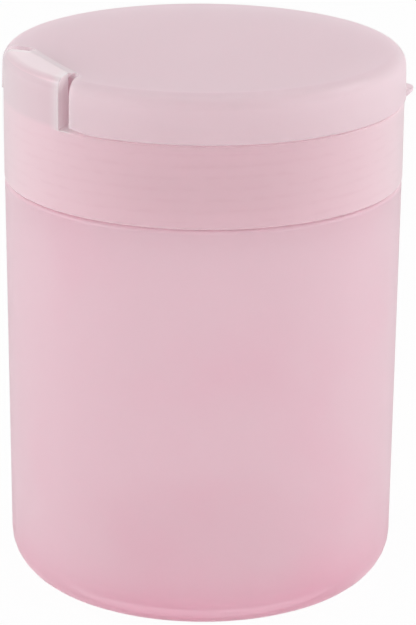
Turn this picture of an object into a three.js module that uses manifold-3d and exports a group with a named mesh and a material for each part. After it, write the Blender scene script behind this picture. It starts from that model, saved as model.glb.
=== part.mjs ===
// Cotton pad container: a tall frosted jar with a screw-on cap whose lid flips up on a living hinge.
// Millimetres, +Z up. The origin is the centre of the base, and the hinge lies on the -X side.

import * as THREE from "three";
import { mergeVertices } from "three/addons/utils/BufferGeometryUtils.js";
import Module from "manifold-3d";

const wasm = await Module();
wasm.setup();

// Jar: a slightly tapered body, a rounded base edge and a plain neck for the screw ring.
const JAR_SHOULDER_HEIGHT = 79;
const JAR_WALL = 1.4;
const JAR_TAPER = 0.65;
const BODY_STEP = 0.1;
const BASE_FILLET = 8;
const BASE_RECESS = 0.8;
const BASE_FOOT_WIDTH = 4;
const BASE_RECESS_RUN = 1.6;
const SHOULDER_FILLET = 0.8;
const NECK_WALL = 1.6;
const NECK_LIP_FILLET = 0.6;

// Screw ring: its outer wall, the flat deck and the round mouth with a low lip.
const COLLAR_RADIUS = 37.7;
const COLLAR_HEIGHT = 15.4;
const COLLAR_WALL = 1.5;
const COLLAR_EDGE_FILLET = 0.5;
const DECK_THICKNESS = 1.5;
const DECK_FILLET = 1;
const MOUTH_LIP_HEIGHT = 0.8;
const MOUTH_LIP_WIDTH = 1;

// Flip lid: a flat top, a rounded rim and a short skirt that is widest at its lower edge.
const LID_SKIRT_HEIGHT = 9;
const LID_WALL = 1.4;
const LID_RIM_FILLET = 2.8;
const LID_DRAFT = 0.25;
const LID_OVERHANG = 0.3;
const PLUG_WALL = 1.2;
const PLUG_DEPTH = 1.2;
const PLUG_LEAD_IN = 0.4;

// Lift nib: a small catch for a fingernail at the lid's lower edge, off the point opposite the hinge.
const NIB_REACH = 1.4;
const NIB_WIDTH = 5.6;
const NIB_HEIGHT = 1.3;
const NIB_TIP_THICKNESS = 0.4;
const NIB_OFFSET_DEGREES = -24.4;

// Hinge block: rises from the screw ring to the lid's top, with a slot on each side of it.
const BLOCK_DEPTH = 6.1;
const BLOCK_CHORD_WIDTH = 18.6;
const BLOCK_RIM_WIDTH = 26.6;
const BLOCK_WALL = 1.5;
const BLOCK_RIM_FILLET = 2;
const SLOT_WIDTH = 2.5;

// Living hinge: a thin web along the chord between the lid and the block, thickest at its roots.
const HINGE_WIDTH = 1.4;
const HINGE_FILM = 0.4;
const HINGE_ROOT = 0.9;

// Clearances.
const SEAT_GAP = 0.3;
const PARTING_GAP = 0.3;
const THREAD_ROOM = 1.7;
const MOUTH_MARGIN = 1.2;
const PLUG_CLEARANCE = 0.4;
const SWING_CLEARANCE = 0.3;

// Finish: frosted pink polypropylene, paler on the lid.
const JAR_COLOUR = 0xe1bcc7;
const RING_COLOUR = 0xdebcc5;
const HINGE_COLOUR = 0xe4d0d6;
const LID_COLOUR = 0xdec9d0;
const JAR_ROUGHNESS = 0.5;
const CAP_ROUGHNESS = 0.45;

// Facets: steps round the axis, and pairs of steps in each quarter round of a profile.
const RADIAL_STEPS = 72;
const FILLET_STEPS = 2;
const SWING_STEPS = 18;
const FILM_STEPS = 8;

// Levels in the cap's own frame, whose zero is the screw ring's lower edge.
const deckTop = COLLAR_HEIGHT;
const deckUnderside = deckTop - DECK_THICKNESS;
const lidEdge = deckTop + PARTING_GAP;
const lidTop = lidEdge + LID_SKIRT_HEIGHT;
const lidUnderside = lidTop - LID_WALL;

// Radii and plan distances that follow from the screw ring.
const collarInner = COLLAR_RADIUS - COLLAR_WALL;
const bodyTopRadius = COLLAR_RADIUS - BODY_STEP;
const bodyBaseRadius = bodyTopRadius - JAR_TAPER;
const neckRadius = collarInner - THREAD_ROOM;
const neckInner = neckRadius - NECK_WALL;
const neckTop = JAR_SHOULDER_HEIGHT + deckUnderside;
const lidRadius = COLLAR_RADIUS + LID_OVERHANG;
const lidShoulderRadius = lidRadius - LID_DRAFT;
const blockChord = COLLAR_RADIUS - BLOCK_DEPTH;
const lidChord = blockChord - HINGE_WIDTH;
const mouthRadius = lidChord - MOUTH_MARGIN;
const plugRadius = mouthRadius - PLUG_CLEARANCE;

// The lid turns about the middle of the hinge's thin film.
const hingeX = -(lidChord + HINGE_WIDTH / 2);
const hingeZ = lidTop - HINGE_FILM / 2;

const QUARTER = Math.PI / 2;

// A closed solid from a geometry: corners are shared and triangles of no area are dropped.
function toSolid(geometry) {
  const bare = geometry.clone();
  bare.deleteAttribute("normal");
  bare.deleteAttribute("uv");
  const merged = mergeVertices(bare);
  const corners = merged.index.array;
  const triangles = [];
  for (let i = 0; i < corners.length; i += 3) {
    const [a, b, c] = corners.slice(i, i + 3);
    if (a !== b && b !== c && c !== a) {
      triangles.push(a, b, c);
    }
  }
  const vertProperties = merged.attributes.position.array;
  const triVerts = new Uint32Array(triangles);
  return new wasm.Manifold(new wasm.Mesh({ numProp: 3, vertProperties, triVerts }));
}

function toGeometry(solid) {
  const mesh = solid.getMesh();
  const geometry = new THREE.BufferGeometry();
  geometry.setAttribute("position", new THREE.BufferAttribute(mesh.vertProperties, 3));
  geometry.setIndex(new THREE.BufferAttribute(mesh.triVerts, 1));
  geometry.computeVertexNormals();
  return geometry;
}

// A solid of revolution about Z from a profile of radius and height.
function revolve(profile) {
  const lathe = new THREE.LatheGeometry(profile.getPoints(FILLET_STEPS), RADIAL_STEPS);
  return toSolid(lathe.rotateX(QUARTER));
}

// A prism that stands on an outline in plan, from one level to another.
function prism(outline, from, to) {
  const settings = { depth: to - from, bevelEnabled: false, curveSegments: FILLET_STEPS * 6 };
  return toSolid(new THREE.ExtrudeGeometry(outline, settings).translate(0, 0, from));
}

// Jar: base with a shallow recess, wall, shoulder and neck, open at the top.
function jarSolid() {
  const footInner = bodyBaseRadius - BASE_FILLET - BASE_FOOT_WIDTH;
  const innerFillet = BASE_FILLET - JAR_WALL;
  const innerBase = bodyBaseRadius - JAR_WALL;
  const innerTop = bodyTopRadius - JAR_WALL;
  const shoulderFlat = JAR_SHOULDER_HEIGHT - SHOULDER_FILLET;
  const throat = JAR_SHOULDER_HEIGHT - JAR_WALL;
  const floor = BASE_RECESS + JAR_WALL;

  const profile = new THREE.Path();
  profile.moveTo(0, BASE_RECESS);
  profile.lineTo(footInner - BASE_RECESS_RUN, BASE_RECESS);
  profile.lineTo(footInner, 0);
  profile.lineTo(bodyBaseRadius - BASE_FILLET, 0);
  profile.absarc(bodyBaseRadius - BASE_FILLET, BASE_FILLET, BASE_FILLET, -QUARTER, 0, false);
  profile.lineTo(bodyTopRadius, shoulderFlat);
  profile.absarc(bodyTopRadius - SHOULDER_FILLET, shoulderFlat, SHOULDER_FILLET, 0, QUARTER, false);
  profile.lineTo(neckRadius, JAR_SHOULDER_HEIGHT);
  profile.lineTo(neckRadius, neckTop - NECK_LIP_FILLET);
  profile.absarc(neckRadius - NECK_LIP_FILLET, neckTop - NECK_LIP_FILLET, NECK_LIP_FILLET, 0, QUARTER, false);
  profile.lineTo(neckInner, neckTop);
  profile.lineTo(neckInner, throat);
  profile.lineTo(innerTop, throat - (innerTop - neckInner));
  profile.lineTo(innerBase, floor + innerFillet);
  profile.absarc(innerBase - innerFillet, floor + innerFillet, innerFillet, 0, -QUARTER, true);
  profile.lineTo(0, floor);
  return revolve(profile);
}

// The hinge's outline in plan: a chord, and sides that flare out to the rim.
// Every side runs parallel to the block's side, moved outwards by sideOffset.
function hingeOutline(chord, sideOffset) {
  const rimHalf = BLOCK_RIM_WIDTH / 2;
  const rimDistance = Math.sqrt(COLLAR_RADIUS ** 2 - rimHalf ** 2);
  const slope = (rimHalf - BLOCK_CHORD_WIDTH / 2) / (rimDistance - blockChord);
  const shift = sideOffset * Math.hypot(1, slope);
  const halfWidthAt = (distance) => BLOCK_CHORD_WIDTH / 2 + slope * (distance - blockChord) + shift;
  const beyond = lidRadius + BLOCK_DEPTH;

  const outline = new THREE.Shape();
  outline.moveTo(-chord, -halfWidthAt(chord));
  outline.lineTo(-chord, halfWidthAt(chord));
  outline.lineTo(-beyond, halfWidthAt(beyond));
  outline.lineTo(-beyond, -halfWidthAt(beyond));
  outline.closePath();
  return outline;
}

// Screw ring: outer wall, deck and mouth, with the hollow hinge block standing on its deck.
function collarSolid() {
  const lipOuter = mouthRadius + MOUTH_LIP_WIDTH;
  const lipTop = deckTop + MOUTH_LIP_HEIGHT;
  const edge = COLLAR_EDGE_FILLET;
  const blockShoulder = lidTop - BLOCK_RIM_FILLET;

  const ring = new THREE.Path();
  ring.moveTo(mouthRadius, deckUnderside);
  ring.lineTo(collarInner - DECK_FILLET, deckUnderside);
  ring.absarc(collarInner - DECK_FILLET, deckUnderside - DECK_FILLET, DECK_FILLET, QUARTER, 0, true);
  ring.lineTo(collarInner, 0);
  ring.lineTo(COLLAR_RADIUS - edge, 0);
  ring.absarc(COLLAR_RADIUS - edge, edge, edge, -QUARTER, 0, false);
  ring.lineTo(COLLAR_RADIUS, deckTop);
  ring.lineTo(lipOuter, deckTop);
  ring.lineTo(lipOuter, lipTop);
  ring.lineTo(mouthRadius, lipTop);
  ring.closePath();

  const drum = new THREE.Path();
  drum.moveTo(0, deckUnderside);
  drum.lineTo(COLLAR_RADIUS, deckUnderside);
  drum.lineTo(COLLAR_RADIUS, blockShoulder);
  drum.absarc(COLLAR_RADIUS - BLOCK_RIM_FILLET, blockShoulder, BLOCK_RIM_FILLET, 0, QUARTER, false);
  drum.lineTo(0, lidTop);

  const hollow = new THREE.Path();
  hollow.moveTo(0, deckUnderside - DECK_FILLET);
  hollow.lineTo(COLLAR_RADIUS - BLOCK_WALL, deckUnderside - DECK_FILLET);
  hollow.lineTo(COLLAR_RADIUS - BLOCK_WALL, lidTop - BLOCK_WALL);
  hollow.lineTo(0, lidTop - BLOCK_WALL);

  const blockPlan = hingeOutline(blockChord, 0);
  const hollowPlan = hingeOutline(blockChord + BLOCK_WALL, -BLOCK_WALL);
  const block = revolve(drum).intersect(prism(blockPlan, 0, lidTop));
  const blockHollow = revolve(hollow).intersect(prism(hollowPlan, 0, lidTop));
  return revolve(ring).add(block).subtract(blockHollow);
}

// Lift nib: half round in plan, with a flat top and an underside that slants back to the lid's edge.
function nibSolid() {
  const root = lidRadius - LID_WALL / 2;
  const tip = lidRadius + NIB_REACH;
  const plan = new THREE.Shape();
  plan.absellipse(root, 0, tip - root, NIB_WIDTH / 2, 0, 4 * QUARTER, false);

  const section = new THREE.Path();
  section.moveTo(root, lidEdge);
  section.lineTo(lidRadius, lidEdge);
  section.lineTo(tip, lidEdge + NIB_HEIGHT - NIB_TIP_THICKNESS);
  section.lineTo(tip + NIB_REACH, lidEdge + NIB_HEIGHT - NIB_TIP_THICKNESS);
  section.lineTo(tip + NIB_REACH, lidEdge + NIB_HEIGHT);
  section.lineTo(root, lidEdge + NIB_HEIGHT);
  section.closePath();

  const nib = prism(plan, lidEdge - NIB_HEIGHT, lidTop).intersect(revolve(section));
  return nib.rotate([0, 0, NIB_OFFSET_DEGREES]);
}

// A prism along Y: its outline's x runs outwards along -X, and its y runs up.
function crossPrism(outline, length, curveSegments) {
  const settings = { depth: length, bevelEnabled: false, curveSegments };
  const bar = new THREE.ExtrudeGeometry(outline, settings).translate(0, 0, -length / 2);
  return bar.rotateX(QUARTER).rotateZ(2 * QUARTER);
}

// Material beyond the hinge that would strike the deck as the lid swings up.
function swingRelief() {
  const reach = hingeZ - deckTop - SWING_CLEARANCE;
  const corner = new THREE.Shape();
  corner.moveTo(0, -reach);
  corner.absarc(0, 0, reach, -QUARTER, 0, false);
  corner.lineTo(2 * reach, 0);
  corner.lineTo(2 * reach, -2 * reach);
  corner.lineTo(0, -2 * reach);
  corner.closePath();
  return toSolid(crossPrism(corner, 2 * lidRadius, SWING_STEPS).translate(hingeX, 0, hingeZ));
}

// Flip lid: top, rounded rim, skirt and plug ring, notched for the hinge block.
function lidSolid() {
  const skirtInner = lidRadius - LID_WALL;
  const skirtTopInner = lidShoulderRadius - LID_WALL;
  const innerFillet = LID_RIM_FILLET - LID_WALL;
  const rimCentre = lidTop - LID_RIM_FILLET;
  const plugEnd = deckTop - PLUG_DEPTH;

  const shell = new THREE.Path();
  shell.moveTo(0, lidUnderside);
  shell.lineTo(plugRadius - PLUG_WALL, lidUnderside);
  shell.lineTo(plugRadius - PLUG_WALL, plugEnd);
  shell.lineTo(plugRadius - PLUG_LEAD_IN, plugEnd);
  shell.lineTo(plugRadius, plugEnd + PLUG_DEPTH);
  shell.lineTo(plugRadius, lidUnderside);
  shell.lineTo(skirtTopInner - innerFillet, lidUnderside);
  shell.absarc(skirtTopInner - innerFillet, lidUnderside - innerFillet, innerFillet, QUARTER, 0, true);
  shell.lineTo(skirtInner, lidEdge);
  shell.lineTo(lidRadius, lidEdge);
  shell.lineTo(lidShoulderRadius, rimCentre);
  shell.absarc(lidShoulderRadius - LID_RIM_FILLET, rimCentre, LID_RIM_FILLET, 0, QUARTER, false);
  shell.lineTo(0, lidTop);

  const notch = prism(hingeOutline(lidChord, SLOT_WIDTH), 0, lidTop + LID_WALL);
  return revolve(shell).add(nibSolid()).subtract(notch).subtract(swingRelief());
}

// Living hinge: flat on top, hollowed below so that it folds at the middle.
function hingeGeometry() {
  const web = new THREE.Shape();
  web.moveTo(0, 0);
  web.lineTo(0, -HINGE_ROOT);
  web.quadraticCurveTo(HINGE_WIDTH / 2, HINGE_ROOT - 2 * HINGE_FILM, HINGE_WIDTH, -HINGE_ROOT);
  web.lineTo(HINGE_WIDTH, 0);
  web.closePath();
  return crossPrism(web, BLOCK_CHORD_WIDTH, FILM_STEPS).translate(-lidChord, 0, lidTop);
}

function piece(name, geometry, colour, roughness) {
  const material = new THREE.MeshStandardMaterial({ color: colour, roughness, metalness: 0 });
  const mesh = new THREE.Mesh(geometry, material);
  mesh.name = name;
  return mesh;
}

const jar = piece("jar_body", toGeometry(jarSolid()), JAR_COLOUR, JAR_ROUGHNESS);
const collar = piece("cap_collar", toGeometry(collarSolid()), RING_COLOUR, CAP_ROUGHNESS);
const film = piece("living_hinge", hingeGeometry(), HINGE_COLOUR, CAP_ROUGHNESS);
const lid = piece("flip_lid", toGeometry(lidSolid()), LID_COLOUR, CAP_ROUGHNESS);

// The lid hangs on a group whose origin is the hinge's axis, inside the cap.
const lidPivot = new THREE.Group();
lidPivot.position.set(hingeX, 0, hingeZ);
lid.geometry.translate(-hingeX, 0, -hingeZ);
lidPivot.add(lid);

const cap = new THREE.Group();
cap.position.z = JAR_SHOULDER_HEIGHT + SEAT_GAP;
cap.add(collar, film, lidPivot);

const container = new THREE.Group();
container.add(jar, cap);

export default container;
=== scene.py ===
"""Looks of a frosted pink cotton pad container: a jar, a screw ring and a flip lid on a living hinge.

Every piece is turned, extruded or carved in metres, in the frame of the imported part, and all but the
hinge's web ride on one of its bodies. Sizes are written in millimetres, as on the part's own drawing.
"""

from __future__ import annotations

import logging
import math
from dataclasses import dataclass, field
from enum import Enum
from typing import Mapping, Sequence, Union

import bmesh
import bpy
from mathutils import Matrix, Quaternion, Vector

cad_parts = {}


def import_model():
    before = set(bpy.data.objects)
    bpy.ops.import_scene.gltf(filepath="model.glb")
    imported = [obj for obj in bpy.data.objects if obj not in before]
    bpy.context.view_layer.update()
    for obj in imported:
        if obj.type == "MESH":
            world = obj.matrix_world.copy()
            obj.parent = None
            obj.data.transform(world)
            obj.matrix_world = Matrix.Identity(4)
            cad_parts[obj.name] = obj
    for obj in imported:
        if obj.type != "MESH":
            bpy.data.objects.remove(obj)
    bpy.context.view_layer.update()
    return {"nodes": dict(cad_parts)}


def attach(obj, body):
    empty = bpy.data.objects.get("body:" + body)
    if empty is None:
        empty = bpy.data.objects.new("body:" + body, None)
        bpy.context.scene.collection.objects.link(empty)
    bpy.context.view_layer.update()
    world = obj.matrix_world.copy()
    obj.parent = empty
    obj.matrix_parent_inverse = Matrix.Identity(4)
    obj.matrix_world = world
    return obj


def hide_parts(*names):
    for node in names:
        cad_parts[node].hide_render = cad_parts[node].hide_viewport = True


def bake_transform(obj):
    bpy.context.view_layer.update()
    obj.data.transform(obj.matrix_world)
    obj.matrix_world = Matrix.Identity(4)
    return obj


LOG = logging.getLogger("cotton_pad_container")

MM = 0.001
FULL_TURN = 2.0 * math.pi
ORIGIN = (0.0, 0.0, 0.0)
UPRIGHT = (0.0, 0.0, 1.0)
RADIAL_STEPS = 216
ROUNDING_STEPS = 8
EASING_STEPS = 3
MERGE_DISTANCE = 0.001 * MM
TOLERANCE = 0.01 * MM
SHARP_ANGLE = math.radians(38.0)
EASED_ANGLE = math.radians(50.0)
# How far a cutting solid stands beyond what it cuts, in millimetres.
OVERCUT = 1.0
THREAD_LEAD = 4.2
# How deep the root of a thread sits in its wall, in millimetres.
THREAD_SINK = 0.2
NOISE_MIDDLE = 0.5
# Sockets of the mix nodes that share their names with others.
FIRST_SHADER, SECOND_SHADER = 1, 2
FIRST_COLOUR, SECOND_COLOUR, MIXED_COLOUR = 6, 7, 2
WHITE = (1.0, 1.0, 1.0, 1.0)

Colour = tuple[float, float, float]
Solid = bmesh.types.BMesh
Piece = bpy.types.Object
Node = bpy.types.Node
Tree = bpy.types.NodeTree
Plug = bpy.types.NodeSocket
Source = Union[Plug, float, Sequence[float]]
Inputs = Mapping[Union[str, int], Source]


class Body(Enum):
    """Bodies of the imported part."""

    JAR = "jar"
    CAP = "cap"
    LID = "lid"


class Slot(Enum):
    """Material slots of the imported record."""

    JAR = "jar"
    CAP = "cap"


class Carve(Enum):
    """Ways in which one solid changes another."""

    JOIN = "UNION"
    CUT = "DIFFERENCE"
    KEEP_SHARED = "INTERSECT"


class Socket(Enum):
    """Kinds of socket on a shared shader effect."""

    NUMBER = "NodeSocketFloat"
    COLOUR = "NodeSocketColor"
    VECTOR = "NodeSocketVector"


@dataclass(frozen=True)
class Corner:
    """One corner of a turned profile or of an outline, in millimetres.

    In a profile x is the radius and y the height. In an outline they are the plan's own axes.
    """

    x: float
    y: float
    rounding: float = 0.0


def wire(corners: Sequence[Corner], closed: bool, upright: bool) -> Solid:
    """Draw a line of edges through corners and round those that have a rounding.

    Args:
        corners: The corners in order.
        closed: Whether the last corner joins the first.
        upright: Whether y runs up, as in a profile, or lies flat, as in a plan.

    Returns:
        A bmesh that holds only the line.
    """
    line = bmesh.new()
    points = [(c.x * MM, 0.0, c.y * MM) if upright else (c.x * MM, c.y * MM, 0.0) for c in corners]
    verts = [line.verts.new(point) for point in points]
    for first, second in zip(verts, verts[1:]):
        line.edges.new((first, second))
    if closed:
        line.edges.new((verts[-1], verts[0]))
    for corner, vert in zip(corners, verts):
        if corner.rounding > 0.0:
            bmesh.ops.bevel(
                line,
                geom=[vert],
                offset=corner.rounding * MM,
                offset_type="OFFSET",
                segments=ROUNDING_STEPS,
                profile=0.5,
                affect="VERTICES",
                material=-1,
            )
    return line


def turned(corners: Sequence[Corner], closed: bool = False) -> Solid:
    """Spin a profile all the way round the upright axis.

    Args:
        corners: The profile, from axis to axis, or a closed section that stands off the axis.
        closed: Whether the profile is a closed section.

    Returns:
        A closed solid.
    """
    solid = wire(corners, closed, upright=True)
    bmesh.ops.spin(
        solid,
        geom=solid.verts[:] + solid.edges[:],
        cent=ORIGIN,
        axis=UPRIGHT,
        dvec=ORIGIN,
        angle=FULL_TURN,
        steps=RADIAL_STEPS,
        use_merge=True,
        use_duplicate=False,
    )
    bmesh.ops.remove_doubles(solid, verts=solid.verts[:], dist=MERGE_DISTANCE)
    bmesh.ops.recalc_face_normals(solid, faces=solid.faces[:])
    return solid


def raised(corners: Sequence[Corner], low: float, high: float) -> Solid:
    """Extrude an outline in plan from one level to another.

    Args:
        corners: The outline in order, in millimetres.
        low: The lower level, in millimetres.
        high: The upper level, in millimetres.

    Returns:
        A closed prism.
    """
    solid = wire(corners, closed=True, upright=False)
    bmesh.ops.translate(solid, verts=solid.verts[:], vec=(0.0, 0.0, low * MM))
    bmesh.ops.edgenet_fill(solid, edges=solid.edges[:])
    extrude_all(solid, Vector((0.0, 0.0, (high - low) * MM)))
    return solid


def extrude_all(solid: Solid, step: Vector) -> None:
    """Extrude every face of a flat shape along a step and close the result.

    Args:
        solid: A bmesh that holds a flat shape.
        step: How far and which way the shape goes, in metres.
    """
    made = bmesh.ops.extrude_face_region(solid, geom=solid.faces[:], use_keep_orig=True)
    moved = [item for item in made["geom"] if isinstance(item, bmesh.types.BMVert)]
    bmesh.ops.translate(solid, verts=moved, vec=step)
    bmesh.ops.recalc_face_normals(solid, faces=solid.faces[:])


def to_object(solid: Solid, name: str) -> Piece:
    """Turn a bmesh into an object that sits at the origin.

    Args:
        solid: The bmesh, which is freed.
        name: The object's name.

    Returns:
        The new object, linked to the scene.
    """
    mesh = bpy.data.meshes.new(name)
    solid.to_mesh(mesh)
    solid.free()
    piece = bpy.data.objects.new(name, mesh)
    bpy.context.scene.collection.objects.link(piece)
    return piece


def use_up(piece: Piece) -> None:
    """Remove an object and its mesh.

    Args:
        piece: The object, which isn't needed any more.
    """
    spent = piece.data
    bpy.data.objects.remove(piece)
    bpy.data.meshes.remove(spent)


def carve(piece: Piece, solid: Solid, way: Carve) -> None:
    """Join, cut or trim a piece with another solid.

    Args:
        piece: The piece that changes.
        solid: The other solid, which is used up.
        way: How the solid changes the piece.
    """
    tool = to_object(solid, f"{piece.name}_tool")
    modifier = piece.modifiers.new(way.name.lower(), "BOOLEAN")
    modifier.operation = way.value
    modifier.solver = "EXACT"
    modifier.object = tool
    graph = bpy.context.evaluated_depsgraph_get()
    mesh = bpy.data.meshes.new_from_object(piece.evaluated_get(graph))
    piece.modifiers.clear()
    before = piece.data
    piece.data = mesh
    mesh.name = piece.name
    bpy.data.meshes.remove(before)
    use_up(tool)


def shared(first: Solid, second: Solid) -> Solid:
    """Keep what two solids share.

    Args:
        first: One solid, which is used up.
        second: The other solid, which is used up.

    Returns:
        The shared solid.
    """
    piece = to_object(first, "trimmed_solid")
    carve(piece, second, Carve.KEEP_SHARED)
    solid = bmesh.new()
    solid.from_mesh(piece.data)
    use_up(piece)
    return solid


def dress(piece: Piece, material: bpy.types.Material) -> None:
    """Give a piece its one material and shade it smooth, with real edges crisp and flats flat.

    Args:
        piece: The piece to dress.
        material: Its material.
    """
    piece.data.shade_smooth()
    piece.data.set_sharp_from_angle(angle=SHARP_ANGLE)
    weighting = piece.modifiers.new("flat_faces_stay_flat", "WEIGHTED_NORMAL")
    weighting.keep_sharp = True
    piece.data.materials.clear()
    piece.data.materials.append(material)


def settle(piece: Piece, body: Body, stands_for: str = "") -> None:
    """Put a finished piece on its body and say what it stands for.

    Args:
        piece: The finished piece.
        body: The body that carries it.
        stands_for: The node of the part that it is shown instead of, if any.
    """
    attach(piece, body.value)
    if stands_for:
        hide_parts(stands_for)
    LOG.info("%s rides on %s with %d faces", piece.name, body.value, len(piece.data.polygons))


@dataclass
class Thread:
    """A single helical ridge, as it stands on a neck or inside a screw ring.

    Heights, radii and widths are in millimetres, and angles in degrees.
    """

    root_radius: float
    crest_radius: float
    root_width: float
    crest_width: float
    start_height: float
    start_angle: float
    turns: float
    lead: float = THREAD_LEAD
    run_out: float = 24.0
    end_share: float = 0.04
    steps_per_turn: int = 120

    def build(self, name: str) -> Piece:
        """Sweep the ridge's section along its helix and fade both of its ends.

        Args:
            name: The piece's name.

        Returns:
            The finished ridge.
        """
        ridge = bmesh.new()
        section = (
            (self.root_radius, -self.root_width / 2),
            (self.crest_radius, -self.crest_width / 2),
            (self.crest_radius, self.crest_width / 2),
            (self.root_radius, self.root_width / 2),
        )
        verts = [ridge.verts.new((radius * MM, 0.0, height * MM)) for radius, height in section]
        ridge.faces.new(verts)
        steps = round(self.steps_per_turn * self.turns)
        bmesh.ops.spin(
            ridge,
            geom=ridge.verts[:] + ridge.edges[:] + ridge.faces[:],
            cent=ORIGIN,
            axis=UPRIGHT,
            dvec=(0.0, 0.0, self.lead * self.turns / steps * MM),
            angle=FULL_TURN * self.turns,
            steps=steps,
            use_merge=False,
            use_duplicate=False,
        )
        self.fade_ends(ridge)
        start = Matrix.Rotation(math.radians(self.start_angle), 3, "Z")
        bmesh.ops.rotate(ridge, verts=ridge.verts[:], cent=ORIGIN, matrix=start)
        bmesh.ops.translate(ridge, verts=ridge.verts[:], vec=(0.0, 0.0, self.start_height * MM))
        bmesh.ops.recalc_face_normals(ridge, faces=ridge.faces[:])
        return to_object(ridge, name)

    def fade_ends(self, ridge: Solid) -> None:
        """Lower the crest towards the wall over the run-out at each end.

        Args:
            ridge: The swept ridge, which still starts at height and angle zero.
        """
        total = 360.0 * self.turns
        middle = (self.root_radius + self.crest_radius) / 2
        outwards = self.crest_radius > self.root_radius
        for vert in ridge.verts:
            radius = math.hypot(vert.co.x, vert.co.y) / MM
            if (radius > middle) != outwards:
                continue
            swept = vert.co.z / MM / self.lead * 360.0
            share = min(swept, total - swept) / self.run_out
            ease = max(self.end_share, math.sin(math.pi / 2 * min(1.0, max(0.0, share))))
            wanted = self.root_radius + (self.crest_radius - self.root_radius) * ease
            vert.co.x *= wanted / radius
            vert.co.y *= wanted / radius


@dataclass
class Jar:
    """The tapered jar with its rounded base edge, shallow foot, shoulder and threaded neck."""

    base_radius: float = 36.95
    top_radius: float = 37.6
    wall: float = 1.4
    base_rounding: float = 8.0
    recess: float = 0.8
    foot_width: float = 4.0
    foot_rounding: float = 0.6
    recess_run: float = 1.6
    shoulder_height: float = 79.0
    shoulder_rounding: float = 0.8
    shoulder_fillet: float = 1.2
    neck_radius: float = 34.5
    neck_inner: float = 32.9
    neck_top: float = 92.9
    neck_rounding: float = 0.6
    neck_fillet: float = 0.5
    mouth_rounding: float = 0.4
    throat_rounding: float = 0.6
    gate_radius: float = 1.1
    gate_height: float = 0.3
    gate_rounding: float = 0.2
    thread_rise: float = 0.5

    def shell(self) -> Piece:
        """Turn the jar's wall, base and neck in one profile.

        Returns:
            The jar's shell.
        """
        foot_inner = self.base_radius - self.base_rounding - self.foot_width
        gate_tip = self.recess - self.gate_height
        floor = self.recess + self.wall
        inner_base = self.base_radius - self.wall
        inner_top = self.top_radius - self.wall
        throat = self.shoulder_height - self.wall
        profile = (
            Corner(0.0, gate_tip),
            Corner(self.gate_radius, gate_tip, self.gate_rounding),
            Corner(self.gate_radius, self.recess),
            Corner(foot_inner - self.recess_run, self.recess, self.foot_rounding),
            Corner(foot_inner, 0.0, self.foot_rounding),
            Corner(self.base_radius, 0.0, self.base_rounding),
            Corner(self.top_radius, self.shoulder_height, self.shoulder_rounding),
            Corner(self.neck_radius, self.shoulder_height, self.neck_fillet),
            Corner(self.neck_radius, self.neck_top, self.neck_rounding),
            Corner(self.neck_inner, self.neck_top, self.mouth_rounding),
            Corner(self.neck_inner, throat, self.throat_rounding),
            Corner(inner_top, throat - (inner_top - self.neck_inner), self.shoulder_fillet),
            Corner(inner_base, floor, self.base_rounding - self.wall),
            Corner(0.0, floor),
        )
        return to_object(turned(profile), "jar_shell")

    def thread(self) -> Piece:
        """Sweep the ridge that the screw ring runs on.

        Returns:
            The neck's thread.
        """
        ridge = Thread(
            root_radius=self.neck_radius - THREAD_SINK,
            crest_radius=self.neck_radius + self.thread_rise,
            root_width=1.2,
            crest_width=0.4,
            start_height=81.2,
            start_angle=-175.0,
            turns=2.45,
        )
        return ridge.build("neck_thread")

    def build(self, finish: FrostedPlastic) -> None:
        """Make the jar's pieces, dress them and put them on the jar's body.

        Args:
            finish: The jar's plastic.
        """
        material = finish.material()
        for piece, stands_for in ((self.shell(), "jar_body"), (self.thread(), "")):
            dress(piece, material)
            settle(piece, Body.JAR, stands_for)


@dataclass
class HingePlan:
    """The hinge's plan: a chord, and sides that flare from it out to the rim."""

    rim_radius: float = 37.7
    chord: float = 31.6
    chord_width: float = 18.6
    rim_width: float = 26.6
    beyond: float = 46.0

    @property
    def slope(self) -> float:
        """Work out how much the plan's half width grows per millimetre from the axis.

        Returns:
            The slope of the sides.
        """
        rim_half = self.rim_width / 2
        rim_distance = math.sqrt(self.rim_radius**2 - rim_half**2)
        return (rim_half - self.chord_width / 2) / (rim_distance - self.chord)

    @property
    def side_start(self) -> float:
        """Give the half width that the sloping sides would have at the axis, in millimetres."""
        return self.chord_width / 2 - self.slope * self.chord

    def outline(self, chord: float, side_offset: float, rounding: float = 0.0) -> list[Corner]:
        """Draw the plan from a chord outwards, with every side moved out by an offset.

        Args:
            chord: How far the chord lies from the axis, in millimetres.
            side_offset: How far the sides move outwards, in millimetres.
            rounding: The rounding of the two corners at the chord, in millimetres.

        Returns:
            The outline's corners.
        """
        shift = side_offset * math.hypot(1.0, self.slope)

        def half_width(distance: float) -> float:
            """Give the plan's half width at a distance from the axis."""
            return self.side_start + self.slope * distance + shift

        return [
            Corner(-chord, -half_width(chord), rounding),
            Corner(-self.beyond, -half_width(self.beyond)),
            Corner(-self.beyond, half_width(self.beyond)),
            Corner(-chord, half_width(chord), rounding),
        ]


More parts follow.
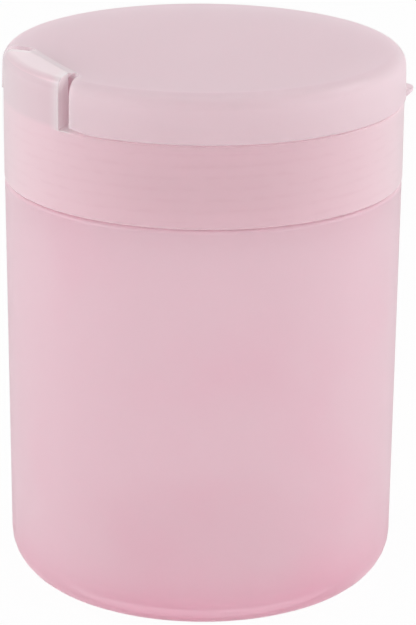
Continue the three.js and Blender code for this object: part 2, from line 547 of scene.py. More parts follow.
@dataclass
class ScrewRing:
    """The screw ring: its wall, deck and mouth, and the hollow hinge block that stands on the deck."""

    plan: HingePlan
    radius: float = 37.7
    inner_radius: float = 36.2
    edge: float = 79.3
    edge_rounding: float = 0.5
    deck_underside: float = 93.2
    deck_top: float = 94.7
    deck_rounding: float = 0.25
    deck_fillet: float = 1.0
    mouth_radius: float = 29.0
    lip_radius: float = 30.0
    lip_top: float = 95.5
    small_rounding: float = 0.3
    block_top: float = 104.0
    block_wall: float = 1.5
    block_rounding: float = 2.0
    block_edge_rounding: float = 0.3
    block_foot: float = 0.2
    hollow_rounding: float = 0.8
    hollow_corner: float = 0.4
    thread_rise: float = 0.45

    def wall_and_deck(self) -> Piece:
        """Turn the ring's wall, deck and mouth lip.

        Returns:
            The ring without its hinge block.
        """
        section = (
            Corner(self.mouth_radius, self.deck_underside, self.small_rounding),
            Corner(self.inner_radius, self.deck_underside, self.deck_fillet),
            Corner(self.inner_radius, self.edge, self.small_rounding),
            Corner(self.radius, self.edge, self.edge_rounding),
            Corner(self.radius, self.deck_top, self.deck_rounding),
            Corner(self.lip_radius, self.deck_top, self.small_rounding),
            Corner(self.lip_radius, self.lip_top, self.small_rounding),
            Corner(self.mouth_radius, self.lip_top, self.small_rounding),
        )
        return to_object(turned(section, closed=True), "cap_ring")

    def block(self) -> Solid:
        """Trim a turned drum to the hinge's plan and ease its edges.

        Returns:
            The solid hinge block.
        """
        foot = (self.deck_underside + self.deck_top) / 2
        drum = (
            Corner(0.0, foot),
            Corner(self.radius, foot),
            Corner(self.radius, self.block_top, self.block_rounding),
            Corner(0.0, self.block_top),
        )
        outline = self.plan.outline(self.plan.chord, 0.0)
        solid = shared(turned(drum), raised(outline, foot - OVERCUT, self.block_top + OVERCUT))
        chord_x = -self.plan.chord * MM
        lowest = (self.deck_top + self.block_foot) * MM
        eased = [
            edge
            for edge in solid.edges
            if edge.calc_face_angle(0.0) > EASED_ANGLE
            and max(vert.co.z for vert in edge.verts) > lowest
            and any(abs(vert.co.x - chord_x) > TOLERANCE for vert in edge.verts)
        ]
        bmesh.ops.bevel(
            solid,
            geom=eased,
            offset=self.block_edge_rounding * MM,
            offset_type="OFFSET",
            segments=EASING_STEPS,
            profile=0.5,
            affect="EDGES",
            clamp_overlap=True,
            material=-1,
        )
        return solid

    def block_hollow(self) -> Solid:
        """Make the space inside the hinge block, which opens downwards.

        Returns:
            The hollow as a solid.
        """
        outer = self.radius - self.block_wall
        foot = self.deck_underside - OVERCUT
        ceiling = self.block_top - self.block_wall
        profile = (
            Corner(0.0, foot),
            Corner(outer, foot),
            Corner(outer, ceiling, self.hollow_rounding),
            Corner(0.0, ceiling),
        )
        chord = self.plan.chord + self.block_wall
        outline = self.plan.outline(chord, -self.block_wall, self.hollow_corner)
        return shared(turned(profile), raised(outline, self.edge, self.block_top))

    def thread(self) -> Piece:
        """Sweep the ridge inside the ring, between the turns of the neck's thread.

        Returns:
            The ring's thread.
        """
        ridge = Thread(
            root_radius=self.inner_radius + THREAD_SINK,
            crest_radius=self.inner_radius - self.thread_rise,
            root_width=1.1,
            crest_width=0.35,
            start_height=81.6,
            start_angle=40.0,
            turns=2.2,
        )
        return ridge.build("ring_thread")

    def build(self, finish: FrostedPlastic) -> None:
        """Make the ring's pieces, dress them and put them on the cap's body.

        Args:
            finish: The cap's plastic.
        """
        ring = self.wall_and_deck()
        carve(ring, self.block(), Carve.JOIN)
        carve(ring, self.block_hollow(), Carve.CUT)
        material = finish.material()
        for piece, stands_for in ((ring, "cap_collar"), (self.thread(), "")):
            dress(piece, material)
            settle(piece, Body.CAP, stands_for)


@dataclass
class FlipLid:
    """The flip lid: a flat top, a rounded rim, a short skirt, a plug ring and a small lift nib."""

    plan: HingePlan
    edge_radius: float = 38.0
    shoulder_radius: float = 37.75
    edge: float = 95.0
    edge_rounding: float = 0.3
    inner_edge_rounding: float = 0.2
    top: float = 104.0
    wall: float = 1.4
    rim_rounding: float = 2.8
    plug_radius: float = 28.6
    plug_wall: float = 1.2
    plug_end: float = 93.5
    plug_rounding: float = 0.3
    plug_fillet: float = 0.4
    plug_lead_in: float = 0.4
    plug_lead_height: float = 1.2
    notch_chord: float = 30.2
    notch_corner: float = 0.6
    notch_below: float = 5.0
    slot_width: float = 2.5
    nib_reach: float = 1.4
    nib_width: float = 5.6
    nib_height: float = 1.3
    nib_tip: float = 0.4
    nib_rounding: float = 0.15
    nib_angle: float = -24.4
    nib_steps: int = 64
    hinge_distance: float = 30.9
    hinge_height: float = 103.8
    swing_reach: float = 8.8
    swing_far: float = 17.6
    swing_width: float = 83.6
    swing_steps: int = 48

    def turned_shell(self) -> Piece:
        """Turn the lid's top, rim, skirt and plug ring.

        Returns:
            The lid without its nib and notch.
        """
        underside = self.top - self.wall
        plug_inner = self.plug_radius - self.plug_wall
        inner_rounding = self.rim_rounding - self.wall
        profile = (
            Corner(0.0, underside),
            Corner(plug_inner, underside, self.plug_fillet),
            Corner(plug_inner, self.plug_end, self.plug_rounding),
            Corner(self.plug_radius - self.plug_lead_in, self.plug_end, self.plug_rounding),
            Corner(self.plug_radius, self.plug_end + self.plug_lead_height),
            Corner(self.plug_radius, underside, self.plug_fillet),
            Corner(self.shoulder_radius - self.wall, underside, inner_rounding),
            Corner(self.edge_radius - self.wall, self.edge, self.inner_edge_rounding),
            Corner(self.edge_radius, self.edge, self.edge_rounding),
            Corner(self.shoulder_radius, self.top, self.rim_rounding),
            Corner(self.plug_radius, self.top),
            Corner(0.0, self.top),
        )
        return to_object(turned(profile), "lid_shell")

    def nib(self) -> Solid:
        """Make the half-round nib with its flat top and its underside that slants back.

        Returns:
            The nib as a solid, with its root inside the skirt.
        """
        root = self.edge_radius - self.wall / 2
        tip = self.edge_radius + self.nib_reach
        high = self.edge + self.nib_height
        section = (
            Corner(root, self.edge),
            Corner(self.edge_radius, self.edge),
            Corner(tip, high - self.nib_tip, self.nib_rounding),
            Corner(tip + self.nib_reach, high - self.nib_tip),
            Corner(tip + self.nib_reach, high),
            Corner(root, high),
        )
        plan = bmesh.new()
        bmesh.ops.create_circle(plan, cap_ends=True, segments=self.nib_steps, radius=1.0)
        half = Vector(((tip - root) * MM, self.nib_width / 2 * MM, 1.0))
        place = Vector((root * MM, 0.0, (self.edge - OVERCUT) * MM))
        turn = Matrix.Rotation(math.radians(self.nib_angle), 3, "Z")
        bmesh.ops.scale(plan, verts=plan.verts[:], vec=half)
        bmesh.ops.translate(plan, verts=plan.verts[:], vec=place)
        extrude_all(plan, Vector((0.0, 0.0, (self.nib_height + 2.0 * OVERCUT) * MM)))
        bmesh.ops.rotate(plan, verts=plan.verts[:], cent=ORIGIN, matrix=turn)
        return shared(turned(section, closed=True), plan)

    def swing_relief(self) -> Solid:
        """Make the material beyond the hinge that would strike the deck as the lid swings up.

        Returns:
            The relief as a solid that runs across the lid.
        """
        far = self.swing_far * MM
        side = -self.swing_width / 2 * MM
        relief = bmesh.new()
        centre = Vector((-self.hinge_distance * MM, side, self.hinge_height * MM))
        start = relief.verts.new(centre - Vector((0.0, 0.0, self.swing_reach * MM)))
        bmesh.ops.spin(
            relief,
            geom=[start],
            cent=centre,
            axis=(0.0, 1.0, 0.0),
            dvec=ORIGIN,
            angle=math.pi / 2,
            steps=self.swing_steps,
            use_merge=False,
            use_duplicate=False,
        )
        arc = sorted(relief.verts, key=lambda vert: vert.co.z)
        low = relief.verts.new(centre + Vector((0.0, 0.0, -far)))
        corner = relief.verts.new(centre + Vector((-far, 0.0, -far)))
        high = relief.verts.new(centre + Vector((-far, 0.0, 0.0)))
        for first, second in ((arc[0], low), (low, corner), (corner, high), (high, arc[-1])):
            relief.edges.new((first, second))
        bmesh.ops.edgenet_fill(relief, edges=relief.edges[:])
        extrude_all(relief, Vector((0.0, self.swing_width * MM, 0.0)))
        return relief

    def build(self, finish: FrostedPlastic) -> None:
        """Make the lid, dress it and put it on the lid's body.

        Args:
            finish: The lid's plastic.
        """
        lid = self.turned_shell()
        carve(lid, self.nib(), Carve.JOIN)
        notch = self.plan.outline(self.notch_chord, self.slot_width, self.notch_corner)
        carve(lid, raised(notch, self.plug_end - self.notch_below, self.top + OVERCUT), Carve.CUT)
        carve(lid, self.swing_relief(), Carve.CUT)
        dress(lid, finish.material())
        settle(lid, Body.LID, "flip_lid")


@dataclass
class LivingHinge:
    """The thin web between the hinge block and the lid, which bends as the lid flips."""

    block_side: float = 31.6
    lid_side: float = 30.2
    width: float = 18.6
    top: float = 104.0
    root: float = 0.9
    film: float = 0.4
    columns: int = 20

    def web(self) -> Piece:
        """Make the web, flat on top and hollowed below.

        Returns:
            The web.
        """
        web = bmesh.new()
        side = -self.width / 2 * MM
        low = (self.top - self.root) * MM
        high = self.top * MM
        block_x, lid_x = -self.block_side * MM, -self.lid_side * MM
        section = ((block_x, low), (lid_x, low), (lid_x, high), (block_x, high))
        web.faces.new([web.verts.new((x, side, z)) for x, z in section])
        level = [edge for edge in web.edges if abs(edge.verts[0].co.z - edge.verts[1].co.z) < TOLERANCE]
        bmesh.ops.subdivide_edges(web, edges=level, cuts=self.columns - 1, use_grid_fill=True)
        middle = (self.block_side + self.lid_side) / 2
        half = (self.block_side - self.lid_side) / 2
        for vert in web.verts:
            if vert.co.z < high - TOLERANCE:
                share = (-vert.co.x / MM - middle) / half
                vert.co.z += (self.root - self.film) * (1.0 - share * share) * MM
        extrude_all(web, Vector((0.0, self.width * MM, 0.0)))
        return to_object(web, "hinge_web")

    def build(self, finish: FrostedPlastic) -> None:
        """Make the web, dress it and leave it fixed between the cap and the lid.

        Args:
            finish: The web's plastic.
        """
        web = self.web()
        dress(web, finish.material())
        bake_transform(web)
        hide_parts("living_hinge")
        LOG.info("%s bends between %s and %s", web.name, Body.CAP.value, Body.LID.value)


class Graph:
    """A node tree, with short ways to add nodes that are set and joined."""

    def __init__(self, tree: Tree) -> None:
        """Start a node tree afresh."""
        self.tree = tree
        tree.nodes.clear()

    def feed(self, target: Plug, source: Source) -> None:
        """Feed a socket from another one, or set it to a plain value.

        Args:
            target: The socket that is fed.
            source: The other socket, or the plain value.
        """
        if isinstance(source, Plug):
            self.tree.links.new(source, target)
        else:
            target.default_value = source

    def add(self, kind: str, inputs: Inputs, **settings: object) -> Node:
        """Add a node, set its properties and then feed its inputs.

        Args:
            kind: The node's type.
            inputs: What feeds each input, by the input's name or number.
            settings: The properties.

        Returns:
            The new node.
        """
        node = self.tree.nodes.new(kind)
        for name, setting in settings.items():
            setattr(node, name, setting)
        for key, source in inputs.items():
            self.feed(node.inputs[key], source)
        return node

    def group(self, name: str, place: Plug, inputs: Inputs) -> Node:
        """Add a shared effect, read at a place on the piece and fed with its own inputs."""
        fed = {"Vector": place, **inputs}
        return self.add("ShaderNodeGroup", fed, node_tree=bpy.data.node_groups[name])

    def value(self, operation: str, *sources: Source, clamp: bool = False) -> Plug:
        """Work out a value from others, kept between 0 and 1 if it is clamped."""
        inputs = dict(enumerate(sources))
        return self.add("ShaderNodeMath", inputs, operation=operation, use_clamp=clamp).outputs["Value"]

    def product(self, first: Source, *others: Source) -> Source:
        """Multiply a value by others.

        Args:
            first: The value.
            others: The values that multiply it.

        Returns:
            The socket that gives the product.
        """
        result = first
        for other in others:
            result = self.value("MULTIPLY", result, other)
        return result

    def ramp(
        self,
        source: Source,
        low: Source,
        high: Source,
        start: float = 0.0,
        end: float = 1.0,
        interpolation: str = "LINEAR",
    ) -> Plug:
        """Map a value between two limits to a value between two others.

        Args:
            source: The value to map.
            low: Its first limit.
            high: Its second limit.
            start: What the first limit becomes.
            end: What the second limit becomes.
            interpolation: How the change runs from the one to the other.

        Returns:
            The socket that gives the mapped value.
        """
        inputs = {"Value": source, "From Min": low, "From Max": high, "To Min": start, "To Max": end}
        node = self.add("ShaderNodeMapRange", inputs, interpolation_type=interpolation)
        return node.outputs["Result"]

    def fade(self, distance: Source, width: Source) -> Plug:
        """Draw a soft line that is 1 at no distance and fades to 0 at a width."""
        return self.ramp(distance, 0.0, width, start=1.0, end=0.0, interpolation="SMOOTHSTEP")

    def noise(self, place: Plug, scale: Source, detail: float) -> Plug:
        """Add a noise that is read at a place."""
        inputs = {"Vector": place, "Scale": scale, "Detail": detail}
        return self.add("ShaderNodeTexNoise", inputs).outputs["Fac"]

    def mix(self, share: Source, first: Plug, second: Plug) -> Plug:
        """Mix two shaders, with a share of the second."""
        inputs = {"Fac": share, FIRST_SHADER: first, SECOND_SHADER: second}
        return self.add("ShaderNodeMixShader", inputs).outputs["Shader"]


def nodes_of(owner: Union[bpy.types.Material, bpy.types.World]) -> Graph:
    """Give a material or a world its nodes and start them afresh."""
    owner.use_nodes = True
    return Graph(owner.node_tree)


def opaque(colour: Colour) -> tuple[float, float, float, float]:
    """Give a colour with a full alpha, as a colour socket takes it."""
    return (*colour, 1.0)


class Effect(Graph):
    """A shader effect that several finishes share, kept as one node group.

    Each effect takes the place on the piece as its Vector.
    """

    def __init__(
        self, name: str, colours: Sequence[str], numbers: Sequence[str], results: Mapping[str, Socket]
    ) -> None:
        """Open a node group with named sockets.

        Args:
            name: The effect's name.
            colours: The names of the colours that it takes.
            numbers: The names of the numbers that it takes.
            results: Each result's name and kind.
        """
        super().__init__(bpy.data.node_groups.new(name, "ShaderNodeTree"))
        taken = {"Vector": Socket.VECTOR}
        taken.update(dict.fromkeys(colours, Socket.COLOUR))
        taken.update(dict.fromkeys(numbers, Socket.NUMBER))
        for in_out, sockets in (("INPUT", taken), ("OUTPUT", results)):
            for label, kind in sockets.items():
                self.tree.interface.new_socket(label, in_out=in_out, socket_type=kind.value)
        self.given = self.tree.nodes.new("NodeGroupInput").outputs
        self.results = self.tree.nodes.new("NodeGroupOutput").inputs

    def axes(self) -> tuple[Plug, Plug, Plug]:
        """Split the place on the piece into x, y and z."""
        split = self.add("ShaderNodeSeparateXYZ", {"Vector": self.given["Vector"]}).outputs
        return split["X"], split["Y"], split["Z"]

    def centred_noise(self, scale: Source, detail: float) -> Plug:
        """Add a noise over the piece that swings about zero."""
        return self.value("SUBTRACT", self.noise(self.given["Vector"], scale, detail), NOISE_MIDDLE)

    def distance(self, source: Source, middle: Source) -> Plug:
        """Work out how far a value lies from a middle."""
        return self.value("ABSOLUTE", self.value("SUBTRACT", source, middle))

    def close(self, share: Source, first: str, second: str) -> Tree:
        """Put out a mix of two of the given colours, and close the effect.

        Args:
            share: How much of the second colour is in the mix.
            first: The name of the first colour.
            second: The name of the second colour.

        Returns:
            The effect's node group.
        """
        inputs = {"Factor": share, FIRST_COLOUR: self.given[first], SECOND_COLOUR: self.given[second]}
        mixed = self.add("ShaderNodeMix", inputs, data_type="RGBA")
        self.feed(self.results["Color"], mixed.outputs[MIXED_COLOUR])
        return self.tree


def pigment_with_painted_shade() -> Tree:
    """Build the effect of a colour that deepens beyond a band of height and above a neck height, and
    drifts in clouds. The changes with height are painted shade; the clouds are the plastic's own uneven
    tone.

    Returns:
        The effect's node group.
    """
    numbers = ("Low", "High", "Fall", "Neck", "Neck Share", "Cloud Scale", "Cloud Share")
    effect = Effect("pigment_with_painted_shade", ("Pale", "Deep"), numbers, {"Color": Socket.COLOUR})
    given = effect.given
    _, _, height = effect.axes()
    # Painted shade: the colour deepens by height and above the neck height.
    level = effect.ramp(height, given["Low"], given["High"], start=1.0, end=0.0)
    base = effect.value("POWER", level, given["Fall"])
    above = effect.value("GREATER_THAN", height, given["Neck"])
    deeper = effect.value("MAXIMUM", base, effect.product(above, given["Neck Share"]))
    cloud = effect.centred_noise(given["Cloud Scale"], detail=2.0)
    share = effect.value("MULTIPLY_ADD", cloud, given["Cloud Share"], deeper, clamp=True)
    return effect.close(share, "Pale", "Deep")


def satin_grain() -> Tree:
    """Build the effect of a finely etched mould: a fine grain and slow changes of roughness.

    Returns:
        The effect's node group.
    """
    numbers = ("Grain Scale", "Patch Scale", "Roughness", "Swing")
    results = {"Roughness": Socket.NUMBER, "Height": Socket.NUMBER}
    effect = Effect("satin_grain", (), numbers, results)
    given = effect.given
    grain = effect.noise(given["Vector"], given["Grain Scale"], detail=3.0)
    patch = effect.centred_noise(given["Patch Scale"], detail=1.0)
    rough = effect.value("MULTIPLY_ADD", patch, given["Swing"], given["Roughness"], clamp=True)
    effect.feed(effect.results["Roughness"], rough)
    effect.feed(effect.results["Height"], grain)
    return effect.tree


def fold_line() -> Tree:
    """Build the effect of a plastic that whitens in an uneven line where it folds.

    Returns:
        The effect's node group.
    """
    speckle_scale = 700.0
    speckle_low, speckle_high, least_white = 0.3, 0.6, 0.5
    effect = Effect("fold_line", ("Plain", "Whitened"), ("Middle", "Width"), {"Color": Socket.COLOUR})
    given = effect.given
    across, _, _ = effect.axes()
    line = effect.fade(effect.distance(across, given["Middle"]), given["Width"])
    speckle = effect.noise(given["Vector"], speckle_scale, detail=2.0)
    uneven = effect.ramp(speckle, speckle_low, speckle_high, start=least_white)
    return effect.close(effect.product(line, uneven), "Plain", "Whitened")


def slot_painted_light() -> Tree:
    """Build the painted light along the hinge slots: their sides are painted a paler colour in place of
    the light that scatters into the slots through the plastic.

    Returns:
        The effect's node group.
    """
    numbers = ("Slope", "Start", "Width", "Low", "Chord")
    effect = Effect("slot_painted_light", ("Plain", "Paled"), numbers, {"Color": Socket.COLOUR})
    given = effect.given
    x, y, height = effect.axes()
    # Paint a paler colour near the slots' sides as painted light.
    beside = effect.value("MULTIPLY_ADD", x, given["Slope"], effect.value("ABSOLUTE", y))
    line = effect.fade(effect.distance(beside, given["Start"]), given["Width"])
    above = effect.value("GREATER_THAN", height, given["Low"])
    outside = effect.value("LESS_THAN", x, given["Chord"])
    return effect.close(effect.product(line, above, outside), "Plain", "Paled")


def thread_shade_bands() -> Tree:
    """Build painted shade of an inner thread seen through a frosted wall: faint broken lines of a darker
    colour.

    Returns:
        The effect's node group.
    """
    lines_per_turn = 2.0
    half_spacing = 0.5
    streak_scale, streak_height = 9.0, 90.0
    streak_low, streak_high = 0.38, 0.62
    numbers = ("Lead", "Line Width", "Low", "High", "Share")
    effect = Effect("thread_shade_bands", ("Plain", "Line"), numbers, {"Color": Socket.COLOUR})
    given = effect.given
    x, y, height = effect.axes()
    angle = effect.value("ARCTAN2", y, x)
    rise = effect.value("DIVIDE", height, given["Lead"])
    along = effect.value("SUBTRACT", rise, effect.value("DIVIDE", angle, FULL_TURN))
    aside = effect.value("PINGPONG", effect.product(along, lines_per_turn), half_spacing)
    # The thread's lines are painted shade, darker where the thread sits behind the wall.
    line = effect.fade(aside, given["Line Width"])
    unrolled = {"X": angle, "Y": effect.product(height, streak_height)}
    place = effect.add("ShaderNodeCombineXYZ", unrolled).outputs["Vector"]
    streak = effect.noise(place, streak_scale, detail=2.0)
    broken = effect.ramp(streak, streak_low, streak_high)
    over = effect.value("GREATER_THAN", height, given["Low"])
    under = effect.value("LESS_THAN", height, given["High"])
    return effect.close(effect.product(line, broken, over, under, given["Share"]), "Plain", "Line")


@dataclass(frozen=True)
class FrostedPlastic:
    """A frosted plastic that sends part of its light through, with its pigment, any painted shade by
    height, and its grain.
    """

    name: str
    pale: Colour
    deep: Colour
    low: float
    high: float
    sends_through: float
    roughness: float
    clearness: float
    through: Colour
    ior: float
    sheen: float
    sheen_roughness: float
    clear_blend: float = 0.5
    fall: float = 1.0
    neck: float = 79.5
    neck_share: float = 0.0
    cloud_share: float = 0.5
    cloud_scale: float = 38.0
    grain_scale: float = 2600.0
    grain_strength: float = 0.35
    grain_depth: float = 0.02
    patch_scale: float = 60.0
    roughness_swing: float = 0.12

    def material(self) -> bpy.types.Material:
        """Build the plastic's material, which is clearest where it is seen square on.

        Returns:
            The material, with its effects placed as node groups.
        """
        material = bpy.data.materials.new(self.name)
        graph = nodes_of(material)
        place = graph.add("ShaderNodeTexCoord", {}).outputs["Object"]
        grain_inputs = {
            "Grain Scale": self.grain_scale,
            "Patch Scale": self.patch_scale,
            "Roughness": self.roughness,
            "Swing": self.roughness_swing,
        }
        grain = graph.group("satin_grain", place, grain_inputs).outputs
        bump_inputs = {
            "Strength": self.grain_strength,
            "Distance": self.grain_depth * MM,
            "Height": grain["Height"],
        }
        surface_inputs = {
            "Base Color": self.colour(graph, place),
            "Roughness": grain["Roughness"],
            "IOR": self.ior,
            "Normal": graph.add("ShaderNodeBump", bump_inputs).outputs["Normal"],
            "Sheen Weight": self.sheen,
            "Sheen Roughness": self.sheen_roughness,
        }
        surface = graph.add("ShaderNodeBsdfPrincipled", surface_inputs)
        through = graph.add("ShaderNodeBsdfTranslucent", {"Color": opaque(self.through)})
        shown = graph.mix(self.sends_through, surface.outputs["BSDF"], through.outputs["BSDF"])
        if self.clearness > 0.0:
            facing = graph.add("ShaderNodeLayerWeight", {"Blend": self.clear_blend}).outputs["Facing"]
            share = graph.ramp(facing, 0.0, 1.0, start=self.clearness, end=0.0)
            clear = graph.add("ShaderNodeBsdfTransparent", {})
            shown = graph.mix(share, shown, clear.outputs["BSDF"])
        graph.add("ShaderNodeOutputMaterial", {"Surface": shown})
        return material

    def colour(self, graph: Graph, place: Plug) -> Plug:
        """Place the pigment and its painted shade by height in the material, with the plastic's other
        layers over it.

        Args:
            graph: The material's nodes.
            place: The socket that gives the place on the piece.

        Returns:
            The socket that gives the plastic's colour.
        """
        pigment = {
            "Pale": opaque(self.pale),
            "Deep": opaque(self.deep),
            "Low": self.low * MM,
            "High": self.high * MM,
            "Fall": self.fall,
            "Neck": self.neck * MM,
            "Neck Share": self.neck_share,
            "Cloud Scale": self.cloud_scale,
            "Cloud Share": self.cloud_share,
        }
        colour = graph.group("pigment_with_painted_shade", place, pigment).outputs["Color"]
        for name, inputs in self.layers().items():
            colour = graph.group(name, place, {"Plain": colour, **inputs}).outputs["Color"]
        return colour

    def layers(self) -> dict[str, Inputs]:
        """Give the effects that lie over the pigment, of which this plastic has none."""
        return {}


@dataclass(frozen=True)
class FoldedPlastic(FrostedPlastic):
    """A frosted plastic that has whitened in a line along its fold."""

    whitened: Colour = (0.97, 0.94, 0.95)
    fold_middle: float = -30.9
    fold_width: float = 0.3

    def layers(self) -> dict[str, Inputs]:
        """Lay the whitened fold over the pigment.

        Returns:
            Each effect's name and inputs, the lowest first.
        """
        fold = {
            "Whitened": opaque(self.whitened),
            "Middle": self.fold_middle * MM,
            "Width": self.fold_width * MM,
        }
        return {"fold_line": fold}


@dataclass(frozen=True)
class SlottedPlastic(FrostedPlastic):
    """A frosted plastic with painted light along the hinge slots, a paler colour that stands in for light
    scattered into their shaded sides.
    """

    plan: HingePlan = field(default_factory=HingePlan)
    # The paler colour of the painted light on the slots' sides.
    paled: Colour = (1.0, 0.985, 0.99)
    slot_middle: float = 1.2
    slot_width: float = 5.0
    slot_end: float = 1.6
    slot_low: float = 94.6

    def layers(self) -> dict[str, Inputs]:
        """Lay the painted light on the sides of the slots over the pigment.

        Returns:
            Each effect's name and inputs, the lowest first.
        """
        slots = {
            "Paled": opaque(self.paled),
            "Slope": self.plan.slope,
            "Start": (self.plan.side_start + self.slot_middle) * MM,
            "Width": self.slot_width * MM,
            "Low": self.slot_low * MM,
            "Chord": -(self.plan.chord - self.slot_end) * MM,
        }
        return {"slot_painted_light": slots}


@dataclass(frozen=True)
class ThreadedPlastic(SlottedPlastic):
    """A slotted plastic with painted shade of its inner thread, seen through the wall as faint lines."""

    # The colour of the thread's lines: painted shade of the inner thread seen through the wall.
    line: Colour = (0.72, 0.36, 0.46)
    lead: float = THREAD_LEAD
    line_width: float = 0.3
    thread_low: float = 80.6
    thread_high: float = 93.4
    share: float = 0.12

    def layers(self) -> dict[str, Inputs]:
        """Lay the painted shade of the thread's lines over the slots and the pigment.

        Returns:
            Each effect's name and inputs, the lowest first.
        """
        bands = {
            "Line": opaque(self.line),
            "Lead": self.lead * MM,
            "Line Width": self.line_width,
            "Low": self.thread_low * MM,
            "High": self.thread_high * MM,
            "Share": self.share,
        }
        return {**super().layers(), "thread_shade_bands": bands}


# The jar's colour deepens towards the base and on the neck as painted shade, for its floor seen through
# the wall and for the neck behind the collar.
JAR_PLASTIC = FrostedPlastic(
    name="frosted_jar",
    pale=(0.955, 0.755, 0.82),
    deep=(0.99, 0.285, 0.50),
    low=0.0,
    high=30.0,
    sends_through=0.32,
    roughness=0.48,
    clearness=0.42,
    through=(0.96, 0.74, 0.81),
    ior=1.85,
    sheen=1.0,
    sheen_roughness=0.45,
    fall=4.4,
    neck_share=0.2,
)
# The ring's block sides take a darker copy of the collar's colour as painted shade for how light falls on
# the block; the block's top takes the collar's colour again.
RING_PLASTIC = ThreadedPlastic(
    name="frosted_ring",
    pale=(0.85, 0.655, 0.715),
    deep=(1.0, 0.722, 0.797),
    low=94.6,
    high=95.6,
    sends_through=0.18,
    roughness=0.36,
    clearness=0.44,
    through=(1.0, 0.722, 0.797),
    ior=1.8,
    sheen=1.0,
    sheen_roughness=0.62,
    clear_blend=0.68,
    neck=103.2,
    neck_share=1.0,
)
# The lid's top takes a slightly darker copy of the skirt's colour as painted shade for how light falls on
# the top.
LID_PLASTIC = SlottedPlastic(
    name="frosted_lid",
    pale=(0.97, 0.80, 0.862),
    deep=(0.98, 0.86, 0.90),
    low=103.5,
    high=104.0,
    sends_through=0.36,
    roughness=0.36,
    clearness=0.5,
    through=(0.96, 0.83, 0.87),
    ior=1.5,
    sheen=0.35,
    sheen_roughness=0.6,
)
WEB_PLASTIC = FoldedPlastic(
    name="whitened_web",
    pale=(0.96, 0.83, 0.87),
    deep=(0.96, 0.83, 0.87),
    low=60.0,
    high=70.0,
    sends_through=0.4,
    roughness=0.46,
    clearness=0.0,
    through=(0.96, 0.83, 0.87),
    ior=1.8,
    sheen=1.0,
    sheen_roughness=0.6,
)


@dataclass(frozen=True)
class Softbox:
    """A soft square lamp that hangs round from the camera.

    Its side is in degrees to the camera's right, its height and size in metres and its power in watts.
    """

    name: str
    side: float
    height: float
    size: float
    power: float


SOFTBOXES = (
    Softbox("left_softbox", side=-62.0, height=0.7, size=0.8, power=2.5),
    Softbox("right_softbox", side=58.0, height=0.7, size=0.8, power=2.3),
    Softbox("left_rim_light", side=-105.0, height=1.0, size=0.24, power=4.0),
    Softbox("right_rim_light", side=107.0, height=1.0, size=0.22, power=4.8),
)


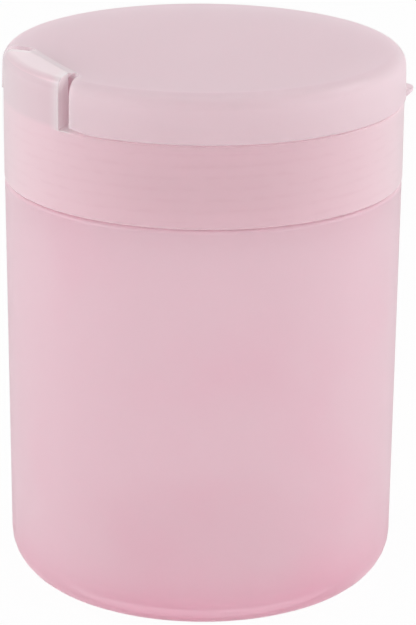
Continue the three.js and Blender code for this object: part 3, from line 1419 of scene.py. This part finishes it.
@dataclass
class Studio:
    """The pale floor, the soft light and the camera."""

    image_width: int = 416
    image_height: int = 625
    focal_pixels: float = 3070.5
    azimuth: float = -25.4
    elevation: float = 18.497
    roll: float = 0.501
    distance: float = 591.7
    target_height: float = 52.0
    aim_right: float = 1.110
    aim_down: float = 0.694
    sensor_width: float = 36.0
    clip_start: float = 0.01
    clip_end: float = 20.0
    floor_half: float = 3.0
    floor_paint: Colour = (0.93, 0.93, 0.93)
    floor_seen: float = 0.97
    softbox_distance: float = 1.2
    sky_fade: float = 0.62
    sky_low: float = 2.22
    sky_high: float = 0.1

    @property
    def target(self) -> Vector:
        """Give the middle of the object, in metres."""
        return Vector((0.0, 0.0, self.target_height * MM))

    def camera(self) -> None:
        """Set the camera at the photograph's angle and distance."""
        turn, rise = math.radians(self.azimuth), math.radians(self.elevation)
        back = Vector((math.sin(turn) * math.cos(rise), -math.cos(turn) * math.cos(rise), math.sin(rise)))
        place = self.target + back * self.distance * MM
        upright = (-back).to_track_quat("-Z", "Y")
        right = upright @ Vector((1.0, 0.0, 0.0))
        up = upright @ Vector((0.0, 1.0, 0.0))
        aim = self.target + right * self.aim_right * MM - up * self.aim_down * MM
        look = (aim - place).to_track_quat("-Z", "Y")
        data = bpy.data.cameras.new("photo_camera")
        data.sensor_width = self.sensor_width
        data.lens = self.sensor_width * self.focal_pixels / max(self.image_width, self.image_height)
        data.clip_start, data.clip_end = self.clip_start, self.clip_end
        camera = bpy.data.objects.new("photo_camera", data)
        camera.location = place
        camera.rotation_mode = "QUATERNION"
        camera.rotation_quaternion = look @ Quaternion(UPRIGHT, math.radians(self.roll))
        bpy.context.scene.collection.objects.link(camera)
        bpy.context.scene.camera = camera

    def floor(self) -> None:
        """Lay the pale floor, which the camera sees near white with the object's soft shadow."""
        plane = bmesh.new()
        bmesh.ops.create_grid(plane, x_segments=2, y_segments=2, size=self.floor_half)
        floor = to_object(plane, "studio_floor")
        material = bpy.data.materials.new("pale_floor")
        graph = nodes_of(material)
        paint = graph.add("ShaderNodeBsdfDiffuse", {"Color": opaque(self.floor_paint)})
        glow = graph.add("ShaderNodeEmission", {})
        path = graph.add("ShaderNodeLightPath", {}).outputs
        share = graph.product(path["Is Camera Ray"], self.floor_seen)
        shown = graph.mix(share, paint.outputs["BSDF"], glow.outputs["Emission"])
        graph.add("ShaderNodeOutputMaterial", {"Surface": shown})
        floor.data.materials.append(material)

    def sky(self) -> None:
        """Surround the object with white light that fades upwards, seen as plain white by the camera."""
        world = bpy.data.worlds.new("white_studio")
        bpy.context.scene.world = world
        graph = nodes_of(world)
        way = graph.add("ShaderNodeTexCoord", {}).outputs["Generated"]
        height = graph.add("ShaderNodeSeparateXYZ", {"Vector": way}).outputs["Z"]
        fade = graph.ramp(height, 0.0, self.sky_fade, start=self.sky_low, end=self.sky_high)
        light = graph.add("ShaderNodeBackground", {"Color": WHITE, "Strength": fade})
        seen = graph.add("ShaderNodeBackground", {"Color": WHITE})
        path = graph.add("ShaderNodeLightPath", {}).outputs
        either = graph.value("MAXIMUM", path["Is Camera Ray"], path["Is Glossy Ray"])
        any_of = graph.value("MAXIMUM", either, path["Is Transmission Ray"])
        shown = graph.mix(any_of, light.outputs["Background"], seen.outputs["Background"])
        graph.add("ShaderNodeOutputWorld", {"Surface": shown})

    def hang(self, softbox: Softbox) -> None:
        """Hang a soft lamp so that it faces the middle of the object.

        Args:
            softbox: The lamp.
        """
        turn = math.radians(self.azimuth + softbox.side)
        place = Vector((math.sin(turn), -math.cos(turn), 0.0)) * self.softbox_distance
        place.z = softbox.height
        data = bpy.data.lights.new(softbox.name, "AREA")
        data.size = softbox.size
        data.energy = softbox.power
        lamp = bpy.data.objects.new(softbox.name, data)
        lamp.location = place
        lamp.rotation_mode = "QUATERNION"
        lamp.rotation_quaternion = (self.target - place).to_track_quat("-Z", "Y")
        bpy.context.scene.collection.objects.link(lamp)

    def build(self) -> None:
        """Set the view, the floor, the sky and the lamps."""
        bpy.context.scene.view_settings.view_transform = "Standard"
        self.camera()
        self.floor()
        self.sky()
        for softbox in SOFTBOXES:
            self.hang(softbox)


def main() -> None:
    """Load the part, build every piece around it and set the scene."""
    logging.basicConfig(level=logging.INFO, format="%(name)s: %(message)s")
    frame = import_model()
    LOG.info("loaded %s", ", ".join(sorted(frame["nodes"])))
    for build_effect in (pigment_with_painted_shade, satin_grain, fold_line, slot_painted_light, thread_shade_bands):
        LOG.info("built the effect %s", build_effect().name)
    plan = HingePlan()
    Jar().build(JAR_PLASTIC)
    ScrewRing(plan).build(RING_PLASTIC)
    FlipLid(plan).build(LID_PLASTIC)
    LivingHinge().build(WEB_PLASTIC)
    Studio().build()


if __name__ == "__main__":
    main()
